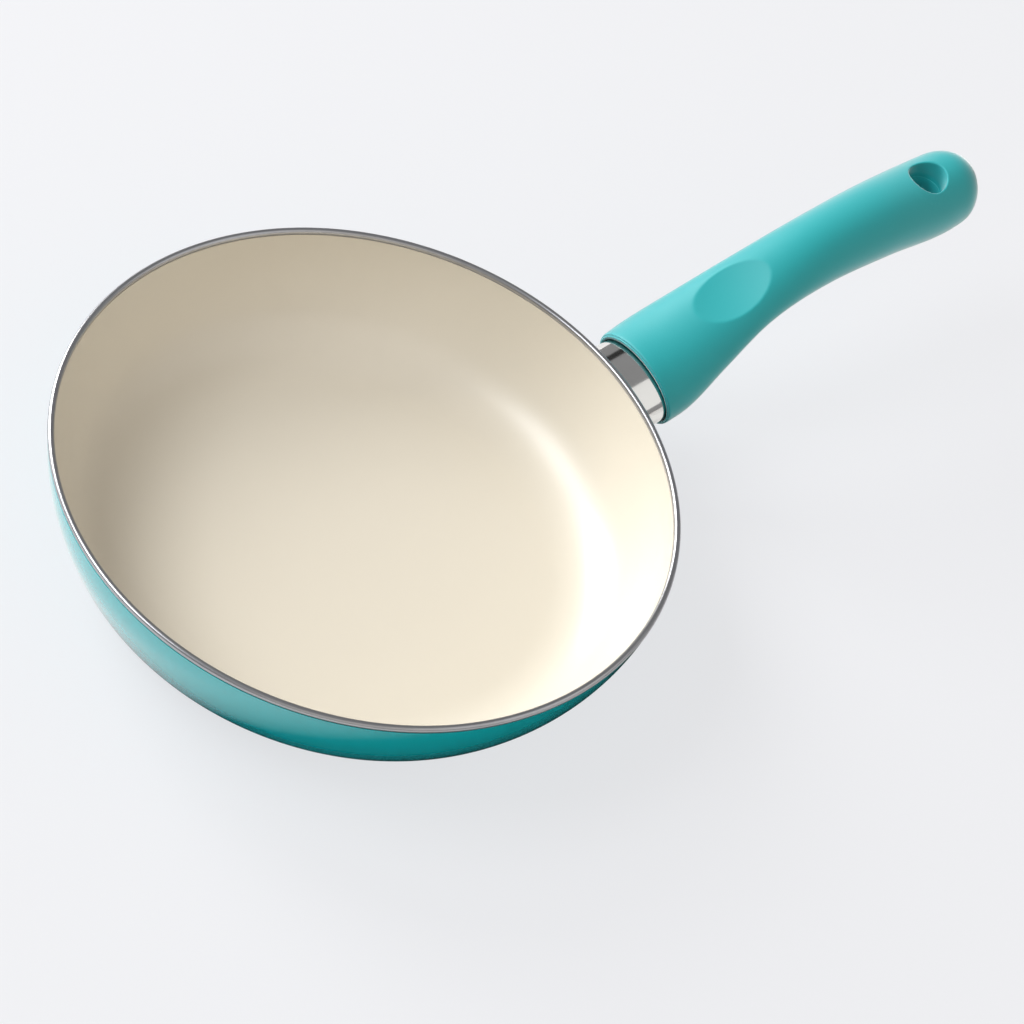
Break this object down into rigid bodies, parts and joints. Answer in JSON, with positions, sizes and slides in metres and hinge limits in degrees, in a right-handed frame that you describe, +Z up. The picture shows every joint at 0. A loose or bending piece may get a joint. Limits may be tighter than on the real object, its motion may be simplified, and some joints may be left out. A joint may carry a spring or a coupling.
{
  "type": "omelette pan",
  "caption": "Round shallow frying pan with rounded sides, a ceramic lining and one long insulated handle with a thumb rest and a hanging hole, for omelettes and other light frying.",
  "frame": {"origin": "Centre of the flat bottom face, on the axis of the round bowl, so the pan stands on z = 0.", "axes": "+X along the handle, away from the bowl; +Z up, out of the bowl; Y completes the right-handed frame. The pan is symmetric about the XZ plane."},
  "size_m": [0.4324, 0.24, 0.0824],
  "materials": {
    "bare_aluminium": "satin",
    "cream_ceramic": "satin",
    "teal_coat": "gloss",
    "plain_steel": "satin",
    "plated_steel": "satin",
    "polished_steel": "polished",
    "heatproof_plastic": "matte",
    "soft_teal": "matte",
    "dark_steel": "satin"
  },
  "bodies": {
    "root": {"pan_body": "bare_aluminium", "interior_coating": "cream_ceramic", "exterior_enamel": "teal_coat", "handle_bracket": "plain_steel", "clinch_nut": "plated_steel", "ferrule": "polished_steel", "handle_core": "heatproof_plastic", "soft_grip": "soft_teal", "handle_screw": "plated_steel", "spring_washer": "dark_steel", "flat_washer": "plated_steel"}
  },
  "joints": []
}
